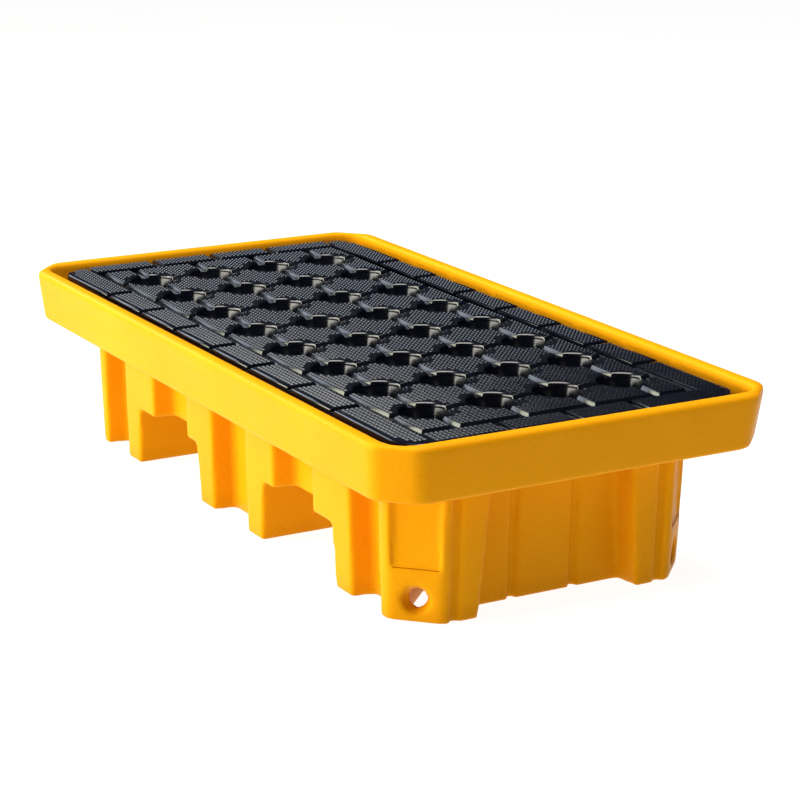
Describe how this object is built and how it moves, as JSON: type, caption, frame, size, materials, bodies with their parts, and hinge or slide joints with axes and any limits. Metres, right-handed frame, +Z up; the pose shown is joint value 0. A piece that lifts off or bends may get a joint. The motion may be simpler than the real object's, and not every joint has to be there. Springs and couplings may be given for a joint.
{
  "type": "spill containment pallet",
  "caption": "Low spill pallet: yellow moulded sump with fluted feet, fork pockets and tie-down holes, and a black lift-out drain grating on inner support columns.",
  "frame": {"origin": "on the floor under the centre of the pallet", "axes": "+X along the length, +Y across the width, +Z up"},
  "size_m": [1.3, 0.68, 0.3],
  "materials": {
    "sump_plastic": "rotomoulded yellow polyethylene, soft satin with a faint orange peel",
    "deck_plastic": "injection-moulded black plastic, semi-gloss, pyramid grip pattern on the pads",
    "column_plastic": "dark grey extruded plastic, satin"
  },
  "bodies": {
    "pallet": {"sump": "sump_plastic", "support_column_1": "column_plastic", "support_column_2": "column_plastic", "support_column_3": "column_plastic", "support_column_4": "column_plastic", "support_column_5": "column_plastic", "support_column_6": "column_plastic"},
    "deck": {"deck_grating": "deck_plastic"}
  },
  "joints": [
    {"name": "deck_lift", "type": "slide", "parent": "pallet", "child": "deck", "axis": [0, 0, 1], "range_m": [0, 0.3]}
  ]
}
